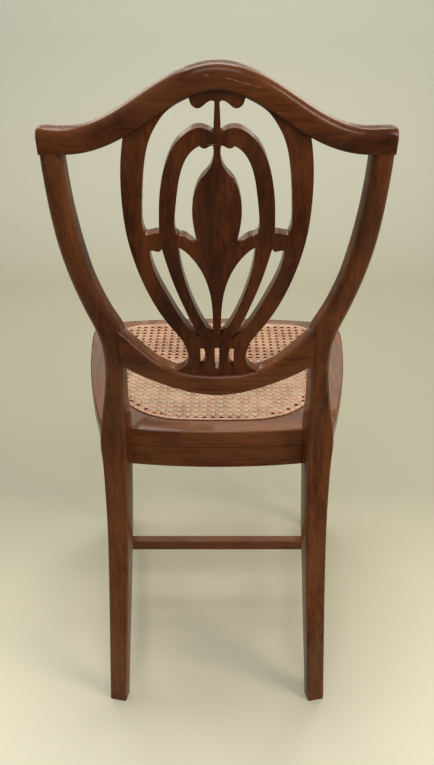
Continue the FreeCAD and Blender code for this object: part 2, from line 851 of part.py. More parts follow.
def make_chair():
    long = size("tenon_length")
    post = post_blank()
    crest = crest_loft("crest_blank", 0, 0, crest_radii)
    crest_core = crest_loft("crest_core", size("splat_tongue"), 0, sharp_radii)
    crest_room = crest_loft("crest_room", 0, 4, sharp_radii)
    rail = rail_blank("rail_blank", 0, [6.5, 5, 2, 2.5])
    rail_core = rail_blank("rail_core", size("splat_tongue"), [0.5, 5, 2, 0.5])
    splat = cut("splat_made", splat_board(), [crest_core, rail_core])
    leg = front_leg()

    # The tenon on top of the post goes up into the crest.
    across = (post_corners(back_point(0, crest_bottom(DRAWN_SEAT_HALF), 0).z)[0].x
              + post_corners(back_point(0, crest_bottom(DRAWN_SEAT_HALF), 0).z)[2].x) / 2
    deep = bow(across) - size("crest_depth") / 2
    joint = crest_bottom(across)
    post_tenon = bar("post_tenon", back_point(across, joint - 20, deep),
                     back_point(across, joint + long, deep), "Sizes.tenon_thick + 3", "Sizes.tenon_thick")

    # The lower shield rail is dowelled to the post.
    inner_face = rail_half() - 2.5
    tangent = Vector(1, bow(inner_face + 1) - bow(inner_face), 0)
    rail_dowels = []
    drawn_half = RAIL_TOP[-1][0]
    lift = size("rail_bottom") + size("rail_middle") - RAIL_TOP[0][1]
    for number, share in enumerate((0.16, 0.5), start=1):
        low = RAIL_UNDER[-2][1]
        high = RAIL_TOP[-2][1]
        up = lift + low + share * (high - low)
        middle = back_point(inner_face - 3, up, bow(inner_face) - size("rail_depth") / 2)
        rail_dowels.append(dowel("shield_rail_dowel_%d" % number, middle, tangent))
    rail_dowel_set = group("rail_dowel_set", rail_dowels)

    # Aprons.
    rear_inner = -size("rear_apron_setback") - size("rear_apron_thickness")
    front_face = leg_front - size("front_apron_bow") + size("front_apron_recess")
    rear_apron = arc_board("rear_apron_blank", 132, -size("rear_apron_setback"), 10.5, rear_inner, 0)
    front_apron = arc_board("front_apron_blank", leg_inner + 8, front_face, -size("front_apron_bow"),
                            front_face + size("apron_thickness"), -size("front_apron_bow"))
    side_apron = side_apron_blank()

    # Tenons on the aprons.
    mid = apron_mid()
    inner_front = post_corners(mid)[2]
    outer_front = post_corners(mid)[3]
    rear_y = (rear_inner - 12.5) / 2 + 1
    rear_tenon = tenon("rear_tenon", at(inner_front.x - 25, rear_y, mid), at(inner_front.x + long, rear_y, mid))
    start, _, end = side_apron_line(size("apron_thickness") / 2)
    side_rear_tenon = tenon("side_rear_tenon", at(start.x + 3, start.y - 15, mid),
                            at(start.x - 1, start.y + long, mid))
    side_front_tenon = tenon("side_front_tenon", at(end.x, end.y + 15, mid), at(end.x, end.y - long, mid))
    front_y = front_face + size("front_apron_bow") + size("apron_thickness") / 2
    front_tenon = tenon("front_tenon", at(leg_inner - 15, front_y, mid), at(leg_inner + long, front_y, mid))

    # Stretchers.
    level = size("stretcher_level")
    rear_middle, _, forward, _, depth = post_frame(level)
    back_end = rear_middle + forward * (depth / 2)
    leg_share = level / frame_bottom
    leg_here = size("leg_foot") + leg_share * (size("leg_top") - size("leg_foot"))
    front_end = at(leg_outer - leg_here / 2, leg_front + leg_here / 2, level)
    stretcher = bar("side_stretcher_blank", back_end, front_end, "Sizes.stretcher_thick", "Sizes.stretcher_tall")
    run = (front_end - back_end).normalize()
    core_tall = "Sizes.stretcher_tall - Sizes.tenon_shoulder"
    stub = 3
    stretcher_core = bar("side_stretcher_core", back_end - run * stub, front_end + run * stub,
                         "Sizes.tenon_thick", core_tall)
    cross_y = -size("cross_stretcher_back")
    share = (back_end.y - cross_y) / (back_end.y - front_end.y)
    cross_x = back_end.x + share * (front_end.x - back_end.x)
    cross = bar("cross_blank", at(-cross_x, cross_y, level), at(cross_x, cross_y, level),
                "Sizes.stretcher_thick", "Sizes.stretcher_tall")
    cross_core = bar("cross_core", at(-cross_x, cross_y, level), at(cross_x, cross_y, level),
                     "Sizes.tenon_thick", core_tall)

    # Glue blocks in the corners of the seat, each with a screw into its leg.
    arm = size("block_arm")
    corner = at((leg_inner + leg_outer) / 2, (leg_front + leg_back) / 2, 0)
    front_arm = (corner.x - arm, front_face + size("apron_thickness") / 2 + 4)
    side_in, side_mid, side_out = side_apron_line(size("apron_thickness") / 2)
    side_arm = (side_out.x + 2, corner.y + arm)
    block_low = frame_bottom - size("block_height")
    front_block = padded("front_block", [(corner.x, corner.y), front_arm, side_arm], block_low,
                         "Sizes.block_height")
    rear_arm = (inner_front.x + 25 - arm, rear_y)
    post_arm = inner_front + (outer_front - inner_front) * 0.7
    curve_line = Part.Arc(side_in, side_mid, side_out).toShape()
    far_arm = min(curve_line.discretize(60), key=lambda p: abs(p.y - (side_in.y - arm)))
    rear_block = padded("rear_block", [rear_arm, (inner_front.x + 4, inner_front.y + 4),
                                       (post_arm.x, post_arm.y + 4), (far_arm.x, far_arm.y)],
                        block_low, "Sizes.block_height")
    block_mid = frame_bottom - size("block_height") / 2
    corner_in = at(leg_inner, leg_back, block_mid)
    hypotenuse = (at(front_arm[0], front_arm[1], block_mid), at(side_arm[0], side_arm[1], block_mid))
    front_screw = block_screw("front_block_screw", hypotenuse, corner_in)
    hypotenuse = (at(far_arm.x, far_arm.y, block_mid), at(rear_arm[0], rear_arm[1], block_mid))
    rear_screw = block_screw("rear_block_screw", hypotenuse, at(inner_front.x, inner_front.y, block_mid))

    # Screws up through the aprons into the seat frame.
    seat_screws = []
    up = Vector(0, 0, 1)
    along = curve_line.discretize(11)
    for number, place in enumerate((along[3], along[7]), start=1):
        seat_screws.append(screw("side_seat_screw_%d" % number, at(place.x, place.y, apron_bottom), up,
                                 "seat_screw_length"))
    seat_screws.append(screw("rear_seat_screw", at(60, rear_inner / 2 - 1, apron_bottom), up,
                             "seat_screw_length"))
    side_screws = group("side_screws", seat_screws[:2])
    rear_screws = both(seat_screws[2])

    # Dowels of the seat frame, and of the front leg.
    frame_dowels = []
    dowel_level = frame_bottom + size("frame_thickness") * 0.58
    (rear_in, rear_out), (front_in, front_out) = joint_lines()
    rear_cane, front_cane = cane_corners()
    for name, cane, (inner, outer), steps in (("rear", rear_cane, (rear_in, rear_out), (-6, 8)),
                                              ("front", front_cane, (front_in, front_out), (1, 16))):
        way = (outer - inner).normalize()
        square_way = Vector(-way.y, way.x, 0)
        for number, step in enumerate(steps, start=1):
            place = cane + way * step
            place.z = dowel_level
            frame_dowels.append(dowel("%s_frame_dowel_%d" % (name, number), place, square_way))
    rear_frame_dowels = group("rear_frame_dowels", frame_dowels[:2])
    front_frame_dowels = group("front_frame_dowels", frame_dowels[2:])
    up_into_seat = 7
    leg_dowel_place = at(corner.x + 11, corner.y - 11, frame_bottom + up_into_seat - size("dowel_length") / 2)
    leg_dowel = dowel("front_leg_dowel", leg_dowel_place, up)

    # The pieces themselves.
    pieces["crest_rail"] = cut("crest_made", crest, [splat, both(post_tenon)])
    pieces["splat"] = splat
    pieces["lower_shield_rail"] = cut("rail_made", rail, [both(post), splat, both(rail_dowel_set)])
    post_with_tenon = joined("post_with_tenon", [cut("post_under_crest", post, [crest_room]), post_tenon])
    post_made = cut("post_made", post_with_tenon,
                    [rear_tenon, side_rear_tenon, stretcher_core, rail_dowel_set, rear_screw])
    pieces["rear_post_left"] = post_made
    pieces["rear_post_right"] = mirrored("post_made_right", post_made)

    ring = cut("frame_notched", frame_ring(), [both(post)])
    parts = {}
    for name, points in sectors().items():
        parts[name] = kept("frame_" + name, ring, sector_solid(name, points))
    pieces["seat_frame_rear"] = cut("frame_rear_made", parts["rear"], [both(rear_frame_dowels), rear_screws])
    pieces["seat_frame_front"] = cut("frame_front_made", parts["front"],
                                     [both(front_frame_dowels), both(leg_dowel)])
    frame_left = cut("frame_left_made", parts["left"],
                     [rear_frame_dowels, front_frame_dowels, leg_dowel, side_screws])
    pieces["seat_frame_left"] = frame_left
    pieces["seat_frame_right"] = mirrored("frame_right_made", frame_left)

    rear_shape = joined("rear_apron_tenoned", [cut("rear_apron_fitted", rear_apron, [both(post)]),
                                               both(rear_tenon)])
    pieces["apron_rear"] = cut("rear_apron_made", rear_shape, [rear_screws, both(rear_screw)])
    front_shape = cut("front_apron_fitted", front_apron, [both(leg)])
    pieces["apron_front"] = joined("front_apron_made", [front_shape, both(front_tenon)])
    side_shape = cut("side_apron_fitted", side_apron, [group("post_and_leg", [post, leg])])
    side_tenoned = joined("side_apron_tenoned", [side_shape, side_rear_tenon, side_front_tenon])
    side_made = cut("side_apron_made", side_tenoned, [side_screws, rear_screw])
    pieces["apron_left"] = side_made
    pieces["apron_right"] = mirrored("side_apron_right", side_made)

    leg_made = cut("leg_made", leg, [front_tenon, side_front_tenon, stretcher_core, leg_dowel, front_screw])
    pieces["front_leg_left"] = leg_made
    pieces["front_leg_right"] = mirrored("leg_made_right", leg_made)

    stretcher_made = cut("stretcher_made", joined("stretcher_tenoned", [
        cut("stretcher_fitted", stretcher, [group("post_and_leg_2", [post, leg])]), stretcher_core]),
        [cross_core])
    pieces["side_stretcher_left"] = stretcher_made
    pieces["side_stretcher_right"] = mirrored("stretcher_made_right", stretcher_made)
    pieces["cross_stretcher"] = joined("cross_made", [cut("cross_fitted", cross, [both(stretcher)]), cross_core])

    pieces["cane_panel"] = extruded("cane_panel_made", net_face(), seat_top, "Sizes.cane_thickness")
    line = cane_line()
    half_binder = size("binder_width") / 2
    strip = pierced([inset(line, -half_binder), inset(line, half_binder)])
    pieces["cane_binder"] = extruded("cane_binder_made", strip, seat_top, "Sizes.binder_height")

    front_fitted = cut("front_block_made", front_block, [front_apron, side_apron, leg, front_screw])
    rear_fitted = cut("rear_block_made", rear_block, [rear_apron, side_apron, post, rear_screw])
    pieces["corner_block_front_left"] = front_fitted
    pieces["corner_block_front_right"] = mirrored("front_block_right", front_fitted)
    pieces["corner_block_rear_left"] = rear_fitted
    pieces["corner_block_rear_right"] = mirrored("rear_block_right", rear_fitted)
    pieces["block_leg_screws"] = both(group("leg_screws_made", [front_screw, rear_screw]))
    pieces["seat_screws"] = both(group("seat_screws_made", seat_screws))
    pieces["seat_frame_dowels"] = both(group("frame_dowels_made", frame_dowels))
    pieces["front_leg_dowels"] = both(leg_dowel)
    pieces["shield_rail_dowels"] = both(rail_dowel_set)


def block_screw(name, hypotenuse, corner):
    """A screw square to the block's long face, through the block and into the leg's corner."""
    first, second = hypotenuse
    along = (second - first).normalize()
    foot = first + along * (corner - first).dot(along)
    return screw(name, foot, (corner - foot).normalize(), "leg_screw_length")


def finish_chair():
    """Name every piece, move it so that the origin is under the middle, check it and write it."""
    rearmost = back_point(0, crest_top(0) - size("crest_tall") / 2, 0).y
    foremost = -size("seat_depth")
    doc.recompute()
    rearmost = pieces["crest_rail"].Shape.BoundBox.YMax
    shift = Vector(0, -(rearmost + foremost) / 2, 0)
    finished = []
    for name, source in pieces.items():
        piece = doc.addObject("Part::Refine", name)
        piece.Label = name
        piece.Source = source
        piece.Placement = Placement(shift, Rotation())
        finished.append(piece)
    doc.recompute()
    for item in doc.Objects:
        if "Invalid" in item.State or "Error" in item.State:
            raise RuntimeError("%s did not compute: %s" % (item.Label, item.State))
    os.makedirs("parts", exist_ok=True)
    for piece in finished:
        if piece.Shape.isNull() or not piece.Shape.isValid() or not piece.Shape.Solids:
            raise RuntimeError("%s has no valid shape" % piece.Label)
        piece.Shape.exportStep("parts/%s.step" % piece.Label)
        box = piece.Shape.BoundBox
        print("%-26s %2d solids %9.0f mm3  x %6.1f..%6.1f y %6.1f..%6.1f z %6.1f..%6.1f" % (
            piece.Label, len(piece.Shape.Solids), piece.Shape.Volume,
            box.XMin, box.XMax, box.YMin, box.YMax, box.ZMin, box.ZMax))


make_chair()
finish_chair()
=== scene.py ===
# %% [markdown]
# # A shield-back dining chair with a caned seat
# The solid model of the chair is loaded first and stays where it is. Everything in this lesson
# dresses that model: polished mahogany on the wooden pieces, and real strands of cane in place of
# the plain sheet that stands for the seat. The overall size is printed now, and again at the end.

# %% Load the chair
import math

import bmesh
import bpy
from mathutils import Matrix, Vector
from mathutils.geometry import convex_hull_2d


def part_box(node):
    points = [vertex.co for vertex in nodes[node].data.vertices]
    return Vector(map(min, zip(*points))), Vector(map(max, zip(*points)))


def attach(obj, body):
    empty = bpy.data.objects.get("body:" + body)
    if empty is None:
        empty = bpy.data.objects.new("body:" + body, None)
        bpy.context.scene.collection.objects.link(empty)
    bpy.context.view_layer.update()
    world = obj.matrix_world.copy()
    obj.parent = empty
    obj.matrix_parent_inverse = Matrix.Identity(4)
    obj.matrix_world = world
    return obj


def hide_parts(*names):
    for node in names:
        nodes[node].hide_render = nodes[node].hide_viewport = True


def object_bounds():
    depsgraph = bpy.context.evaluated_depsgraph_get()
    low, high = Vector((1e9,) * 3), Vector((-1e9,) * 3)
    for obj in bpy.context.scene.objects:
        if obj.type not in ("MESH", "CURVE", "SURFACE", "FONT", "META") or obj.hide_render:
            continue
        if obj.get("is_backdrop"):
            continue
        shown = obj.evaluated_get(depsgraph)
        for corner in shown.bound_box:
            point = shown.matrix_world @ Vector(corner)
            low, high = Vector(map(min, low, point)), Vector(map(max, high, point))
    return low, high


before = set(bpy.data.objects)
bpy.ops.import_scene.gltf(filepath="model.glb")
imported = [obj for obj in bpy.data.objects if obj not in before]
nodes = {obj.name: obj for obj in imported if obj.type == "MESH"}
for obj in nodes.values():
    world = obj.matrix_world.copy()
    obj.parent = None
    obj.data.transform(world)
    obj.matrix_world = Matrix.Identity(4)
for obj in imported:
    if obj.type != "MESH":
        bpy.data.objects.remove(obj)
solid_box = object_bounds()
print("nodes:", len(nodes), "size:", [round(v, 3) for v in solid_box[1] - solid_box[0]])

# %% [markdown]
# ## The camera
# The chair is seen from behind and a little above its top, looking down by 28 degrees. The lens
# is as long as the picture is high, which gives the strong taper of the legs. The camera is placed
# from the rear edge of the seat, because the chair was measured from there.

# %% Camera
SEAT_DEPTH = 0.417
BEHIND_SEAT = 0.942
CAMERA_HEIGHT = 1.037
LOOKING_DOWN = 28.0


def put(name, data):
    """Makes an object that shows the given mesh, lamp or camera, and puts it in the scene."""
    thing = bpy.data.objects.new(name, data)
    bpy.context.scene.collection.objects.link(thing)
    return thing


rear_edge = solid_box[0].y + SEAT_DEPTH
camera_data = bpy.data.cameras.new("studio_camera")
camera_data.lens = 36.0
camera_data.sensor_width = 36.0
camera = put("studio_camera", camera_data)
camera.location = (0.0, rear_edge + BEHIND_SEAT, CAMERA_HEIGHT)
camera.rotation_euler = (math.radians(90.0 - LOOKING_DOWN), 0.0, math.radians(180.0))
bpy.context.scene.camera = camera
bpy.context.scene.view_settings.view_transform = "Standard"
print("camera at", [round(v, 3) for v in camera.location])

# %% [markdown]
# ## Small helpers for materials
# A material is a little machine of nodes. These helpers join two sockets, do a sum, blend two
# colours or turn heights into bumps, so that the recipes further down read as recipes.

# %% Node helpers
def feed(tree, socket, value):
    """Joins a socket to an input, or writes a plain value into it."""
    if isinstance(value, bpy.types.NodeSocket):
        tree.links.new(value, socket)
    else:
        socket.default_value = value


def maths(tree, operation, *values):
    node = tree.nodes.new("ShaderNodeMath")
    node.operation = operation
    for socket, value in zip(node.inputs, values):
        feed(tree, socket, value)
    return node.outputs[0]


def blend(tree, factor, first, second):
    node = tree.nodes.new("ShaderNodeMix")
    node.data_type = "RGBA"
    for socket, value in ((node.inputs[0], factor), (node.inputs[6], first), (node.inputs[7], second)):
        feed(tree, socket, value)
    return node.outputs[2]


def ramp(tree, factor, stops):
    """Turns a number into a shade: stops are (number, grey) or (number, colour)."""
    node = tree.nodes.new("ShaderNodeValToRGB")
    while len(node.color_ramp.elements) < len(stops):
        node.color_ramp.elements.new(0.5)
    for element, (place, shade) in zip(node.color_ramp.elements, stops):
        element.position = place
        element.color = (*shade, 1.0) if isinstance(shade, tuple) else (shade, shade, shade, 1.0)
    tree.links.new(factor, node.inputs["Fac"])
    return node.outputs["Color"]


def noise(tree, vector, stretch, detail, roughness=0.55):
    """Noise with its own number of blotches per metre along x, y and z."""
    mapping = tree.nodes.new("ShaderNodeMapping")
    mapping.inputs["Scale"].default_value = stretch
    tree.links.new(vector, mapping.inputs["Vector"])
    node = tree.nodes.new("ShaderNodeTexNoise")
    node.inputs["Scale"].default_value = 1.0
    node.inputs["Detail"].default_value = detail
    node.inputs["Roughness"].default_value = roughness
    tree.links.new(mapping.outputs["Vector"], node.inputs["Vector"])
    return node.outputs["Fac"]


def object_place(tree):
    """Where a spot of the surface is, in metres from the object's own origin."""
    return tree.nodes.new("ShaderNodeTexCoord").outputs["Object"]


def add_bump(tree, shader, height, strength, distance):
    node = tree.nodes.new("ShaderNodeBump")
    node.inputs["Strength"].default_value = strength
    node.inputs["Distance"].default_value = distance
    tree.links.new(height, node.inputs["Height"])
    tree.links.new(node.outputs["Normal"], shader.inputs["Normal"])


def new_material(name):
    """A fresh material, its node tree and its shader."""
    material = bpy.data.materials.new(name)
    material.use_nodes = True
    return material, material.node_tree, material.node_tree.nodes["Principled BSDF"]


def new_group(name, inputs, outputs):
    """A shader group; inputs are (name, kind, default), outputs are (name, kind)."""
    group = bpy.data.node_groups.new(name, "ShaderNodeTree")
    for label, kind, default in inputs:
        socket = group.interface.new_socket(label, in_out="INPUT", socket_type="NodeSocket" + kind)
        if default is not None:
            socket.default_value = default
    for label, kind in outputs:
        group.interface.new_socket(label, in_out="OUTPUT", socket_type="NodeSocket" + kind)
    entry = group.nodes.new("NodeGroupInput")
    leave = group.nodes.new("NodeGroupOutput")
    return group, entry.outputs, leave.inputs


print("helpers ready")

# %% [markdown]
# ## Mahogany grain
# Mahogany has a broad ribbon of lighter and darker stripes along the board, finer streaks between
# them, and open pores, which show as short dark dashes. All three are the same noise, stretched
# along the grain. The group's Z runs along the grain, so one group serves uprights and rails alike.

# %% Grain group
PORE_TONE = (0.012, 0.004, 0.003, 1)


def build_grain():
    group, entry, leave = new_group(
        "mahogany_grain",
        [("Vector", "Vector", None),
         ("Dark", "Color", (0.034, 0.0092, 0.0034, 1)),
         ("Middle", "Color", (0.100, 0.0290, 0.0088, 1)),
         ("Light", "Color", (0.218, 0.072, 0.022, 1))],
        [("Color", "Color"), ("Height", "Float")])
    ribbon = noise(group, entry["Vector"], (26, 26, 2.2), 4)
    streaks = noise(group, entry["Vector"], (260, 260, 9), 5, 0.65)
    pores = ramp(group, noise(group, entry["Vector"], (900, 900, 46), 2), [(0.60, 0.0), (0.70, 1.0)])
    wide = maths(group, "MULTIPLY", ribbon, 0.72)
    figure = maths(group, "ADD", wide, maths(group, "MULTIPLY", streaks, 0.42))
    low = blend(group, ramp(group, figure, [(0.36, 0.0), (0.56, 1.0)]), entry["Dark"], entry["Middle"])
    tone = blend(group, ramp(group, figure, [(0.52, 0.0), (0.80, 1.0)]), low, entry["Light"])
    pitted = blend(group, maths(group, "MULTIPLY", pores, 0.5), tone, PORE_TONE)
    group.links.new(pitted, leave["Color"])
    group.links.new(maths(group, "SUBTRACT", maths(group, "MULTIPLY", streaks, 0.5), pores), leave["Height"])
    return group


grain_group = build_grain()
print("grain group nodes:", len(grain_group.nodes))

# %% [markdown]
# ## A century of use
# Old polish is never even. It is dull where hands and sleeves rub it, darker where wax and dust
# have gathered, and it has hairline scratches. The group takes the clean colour and roughness and
# gives back the aged ones, with a dial for how much wear a piece shows.

# %% Wear group
RUBBED_TONE = (0.30, 0.12, 0.055, 1)
GRIME_TONE = (0.030, 0.011, 0.006, 1)
SCRATCH_TONE = (0.26, 0.14, 0.08, 1)


def build_wear():
    group, entry, leave = new_group(
        "aged_polish",
        [("Vector", "Vector", None), ("Color", "Color", None),
         ("Roughness", "Float", 0.25), ("Wear", "Float", 0.4)],
        [("Color", "Color"), ("Roughness", "Float"), ("Coat", "Float"), ("Height", "Float")])
    patches = ramp(group, noise(group, entry["Vector"], (14, 14, 9), 3), [(0.42, 0.0), (0.72, 1.0)])
    rubbed = maths(group, "MULTIPLY", patches, entry["Wear"])
    hazy = blend(group, maths(group, "MULTIPLY", rubbed, 0.40), entry["Color"], RUBBED_TONE)
    grime = ramp(group, noise(group, entry["Vector"], (9, 9, 6), 4), [(0.50, 0.0), (0.72, 0.55)])
    dirty = blend(group, grime, hazy, GRIME_TONE)
    lines = ramp(group, noise(group, entry["Vector"], (420, 420, 5), 1), [(0.69, 0.0), (0.72, 1.0)])
    places = ramp(group, noise(group, entry["Vector"], (30, 30, 22), 2), [(0.60, 0.0), (0.66, 1.0)])
    scratches = maths(group, "MULTIPLY", maths(group, "MULTIPLY", lines, places), entry["Wear"])
    group.links.new(blend(group, scratches, dirty, SCRATCH_TONE), leave["Color"])
    duller = maths(group, "ADD", entry["Roughness"], maths(group, "MULTIPLY", rubbed, 0.28))
    group.links.new(duller, leave["Roughness"])
    thinner = maths(group, "SUBTRACT", 0.34, maths(group, "MULTIPLY", rubbed, 0.26))
    group.links.new(thinner, leave["Coat"])
    waves = noise(group, entry["Vector"], (70, 70, 40), 1)
    group.links.new(maths(group, "SUBTRACT", waves, scratches), leave["Height"])
    return group


wear_group = build_wear()
print("wear group nodes:", len(wear_group.nodes))

# %% [markdown]
# ## Nicks
# A long scratch and a small dent on the top rail and a mark on the splat give this one chair its
# history. A nick is a straight mark between two points: the group measures how far each spot of the
# wood is from that line, seen from behind, and paints what is nearer than the mark's width.

# %% Nick group
def vector_maths(tree, operation, *values):
    node = tree.nodes.new("ShaderNodeVectorMath")
    node.operation = operation
    for socket, value in zip(node.inputs, values):
        feed(tree, socket, value)
    return node


def build_nick():
    group, entry, leave = new_group(
        "long_nick",
        [("Vector", "Vector", None), ("Start", "Vector", None), ("End", "Vector", None),
         ("Width", "Float", 0.001)],
        [("Mask", "Float")])
    seen = vector_maths(group, "MULTIPLY", entry["Vector"], (1, 0, 1)).outputs[0]
    run = vector_maths(group, "SUBTRACT", entry["End"], entry["Start"]).outputs[0]
    reach = vector_maths(group, "SUBTRACT", seen, entry["Start"]).outputs[0]
    along = maths(group, "DIVIDE", vector_maths(group, "DOT_PRODUCT", reach, run).outputs["Value"],
                  vector_maths(group, "DOT_PRODUCT", run, run).outputs["Value"])
    inside = maths(group, "MINIMUM", maths(group, "MAXIMUM", along, 0.0), 1.0)
    scale = vector_maths(group, "SCALE", run)
    group.links.new(inside, scale.inputs["Scale"])
    gap = vector_maths(group, "SUBTRACT", reach, scale.outputs[0]).outputs[0]
    distance = vector_maths(group, "LENGTH", gap).outputs["Value"]
    near = ramp(group, maths(group, "DIVIDE", distance, entry["Width"]), [(0.45, 1.0), (1.0, 0.0)])
    broken = ramp(group, noise(group, entry["Vector"], (160, 160, 160), 2), [(0.42, 0.15), (0.56, 1.0)])
    group.links.new(maths(group, "MULTIPLY", near, broken), leave["Mask"])
    return group


nick_group = build_nick()
print("nick group nodes:", len(nick_group.nodes))

# %% [markdown]
# ## Polished mahogany
# Each finish turns the grain along its own pieces with a Mapping node, adds the wear and the nicks,
# and lays a clear coat over it all, as French polish does. Posts, legs and splat have upright
# grain; rails run across; the sides of the seat run from front to back. The top rail and the splat
# get darker tones of the same wood: painted shade for their rear faces, which face a little downward.

# %% Mahogany finishes
ALONG = {
    "upright": (0, 0, 0),
    "across": (0, math.radians(90), 0),
    "front_to_back": (math.radians(90), 0, 0),
}
NICK_TONE = (0.36, 0.21, 0.13, 1)
POLISH_SHINE = 0.08
COAT_ROUGHNESS = 0.10
GRAIN_BUMP = (0.10, 0.0005)


def add_group(tree, group, **inputs):
    node = tree.nodes.new("ShaderNodeGroup")
    node.node_tree = group
    for label, value in inputs.items():
        feed(tree, node.inputs[label], value)
    return node.outputs


def mahogany(name, direction, wear=0.5, gloss=0.24, nicks=(), tones=()):
    material, tree, shader = new_material(name)
    place = object_place(tree)
    turn = tree.nodes.new("ShaderNodeMapping")
    turn.inputs["Rotation"].default_value = ALONG[direction]
    tree.links.new(place, turn.inputs["Vector"])
    grain = add_group(tree, grain_group, Vector=turn.outputs[0], **dict(tones))
    aged = add_group(tree, wear_group, Vector=turn.outputs[0], Color=grain["Color"],
                     Roughness=gloss, Wear=wear)
    colour = aged["Color"]
    height = maths(tree, "ADD", grain["Height"], aged["Height"])
    for start, end, width in nicks:
        mark = add_group(tree, nick_group, Vector=place, Start=start, End=end, Width=width)["Mask"]
        colour = blend(tree, mark, colour, NICK_TONE)
        height = maths(tree, "SUBTRACT", height, mark)
    tree.links.new(colour, shader.inputs["Base Color"])
    tree.links.new(aged["Roughness"], shader.inputs["Roughness"])
    tree.links.new(aged["Coat"], shader.inputs["Coat Weight"])
    add_bump(tree, shader, height, *GRAIN_BUMP)
    shader.inputs["Specular IOR Level"].default_value = POLISH_SHINE
    shader.inputs["Coat Roughness"].default_value = COAT_ROUGHNESS
    return material


CREST_NICKS = [
    ((-0.0095, 0, 0.9463), (-0.046, 0, 0.9364), 0.0006),
    ((0.0111, 0, 0.9489), (0.0095, 0, 0.9487), 0.0014),
]
SPLAT_NICKS = [((0.0108, 0, 0.8772), (-0.0022, 0, 0.8780), 0.0006)]
# Darker tones for the top rail and the splat: painted shade, standing in for the shade on their rear faces,
# which lean back and face a little downward.
PAINTED_SHADE_TONES = {
    "Dark": (0.024, 0.006, 0.002, 1),
    "Middle": (0.076, 0.019, 0.005, 1),
    "Light": (0.190, 0.053, 0.013, 1),
}
finishes = {
    "upright": mahogany("mahogany_upright", "upright"),
    "across": mahogany("mahogany_across", "across"),
    "front_to_back": mahogany("mahogany_front_to_back", "front_to_back"),
    "crest": mahogany("mahogany_crest", "across", gloss=0.18, nicks=CREST_NICKS, tones=PAINTED_SHADE_TONES),
    "splat": mahogany("mahogany_splat", "upright", wear=0.35, nicks=SPLAT_NICKS, tones=PAINTED_SHADE_TONES),
}
print("finishes:", sorted(finishes))

# %% [markdown]
# ## The edges
# Hands and dusters rub the polish thin along every edge, so edges are a little lighter than faces.
# The bevels that come later take this second finish of the same wood, which makes a fine light line
# just where a real one would be.

# %% Finish of the worn edges
EDGE_TONES = {
    "Dark": (0.075, 0.020, 0.009, 1),
    "Middle": (0.190, 0.060, 0.024, 1),
    "Light": (0.320, 0.120, 0.048, 1),
}
edge_finishes = {}
for direction in ALONG:
    edge_finishes[direction] = mahogany("worn_edge_" + direction, direction, wear=0.7, gloss=0.30,
                                        tones=EDGE_TONES)
print("edge finishes:", sorted(edge_finishes))

# %% [markdown]
# ## Bare wood and steel
# Glue blocks and dowels never see daylight, so they stay pale and unpolished. The screws are plain
# steel that has gone a little dull. These pieces keep the solid model's own shapes, and only take
# their materials here.

# %% Inner finishes
BARE_TONES = {
    "Dark": (0.30, 0.18, 0.10, 1),
    "Middle": (0.46, 0.31, 0.18, 1),
    "Light": (0.58, 0.42, 0.27, 1),
}


def bare_wood():
    material, tree, shader = new_material("bare_hardwood")
    grain = add_group(tree, grain_group, Vector=object_place(tree), **BARE_TONES)
    tree.links.new(grain["Color"], shader.inputs["Base Color"])
    add_bump(tree, shader, grain["Height"], 0.3, 0.0004)
    shader.inputs["Roughness"].default_value = 0.7
    return material


def dull_steel():
    material, tree, shader = new_material("dull_steel")
    spots = noise(tree, object_place(tree), (300, 300, 300), 3)
    tone = ramp(tree, spots, [(0.35, (0.30, 0.28, 0.26)), (0.65, (0.52, 0.50, 0.47))])
    tree.links.new(tone, shader.inputs["Base Color"])
    tree.links.new(ramp(tree, spots, [(0.3, 0.5), (0.7, 0.32)]), shader.inputs["Roughness"])
    shader.inputs["Metallic"].default_value = 1.0
    return material


inner = {"corner_block": bare_wood(), "screws": dull_steel()}
inner["dowels"] = inner["corner_block"]
for name, node in nodes.items():
    for mark, material in inner.items():
        if mark in name:
            node.data.materials.clear()
            node.data.materials.append(material)
print("inner pieces finished")

# %% [markdown]
# ## Dressing the wooden pieces
# A solid model has knife-sharp edges, and real woodwork never has: a cabinet maker breaks every
# edge with a stroke of sandpaper. Each piece is copied, its loose triangles are welded, flat faces
# are made whole again, and a narrow bevel rounds every edge.

# %% Function that dresses a piece
WELD = 0.00001
FLAT = math.radians(0.6)
CREASE = math.radians(32.0)
BROKEN_EDGE = 0.0007
EDGE_SLOT = 1


def welded_copy(name):
    mesh = nodes[name].data.copy()
    mesh.name = name + "_polished"
    shape = bmesh.new()
    shape.from_mesh(mesh)
    bmesh.ops.remove_doubles(shape, verts=shape.verts, dist=WELD)
    bmesh.ops.dissolve_limit(shape, angle_limit=FLAT, verts=shape.verts, edges=shape.edges)
    shape.to_mesh(mesh)
    shape.free()
    for face in mesh.polygons:
        face.use_smooth = True
    return mesh


def dressed(name, finish, edge_finish):
    mesh = welded_copy(name)
    mesh.materials.clear()
    mesh.materials.append(finish)
    mesh.materials.append(edge_finish)
    mesh.set_sharp_from_angle(angle=CREASE)
    piece = put(name + "_polished", mesh)
    bevel = piece.modifiers.new("broken_edge", "BEVEL")
    bevel.width = BROKEN_EDGE
    bevel.segments = 2
    bevel.limit_method = "ANGLE"
    bevel.angle_limit = CREASE
    bevel.material = EDGE_SLOT
    bevel.harden_normals = True
    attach(piece, "root")
    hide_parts(name)
    return piece


print("ready to dress", len([n for n in nodes if n not in ("cane_panel", "cane_binder")]), "pieces")

# %% [markdown]
# ## Which way the grain runs
# A cabinet maker always lays the grain along the longer side of a piece, because wood is strong
# that way and shrinks across it. This table says it for every piece of the chair.

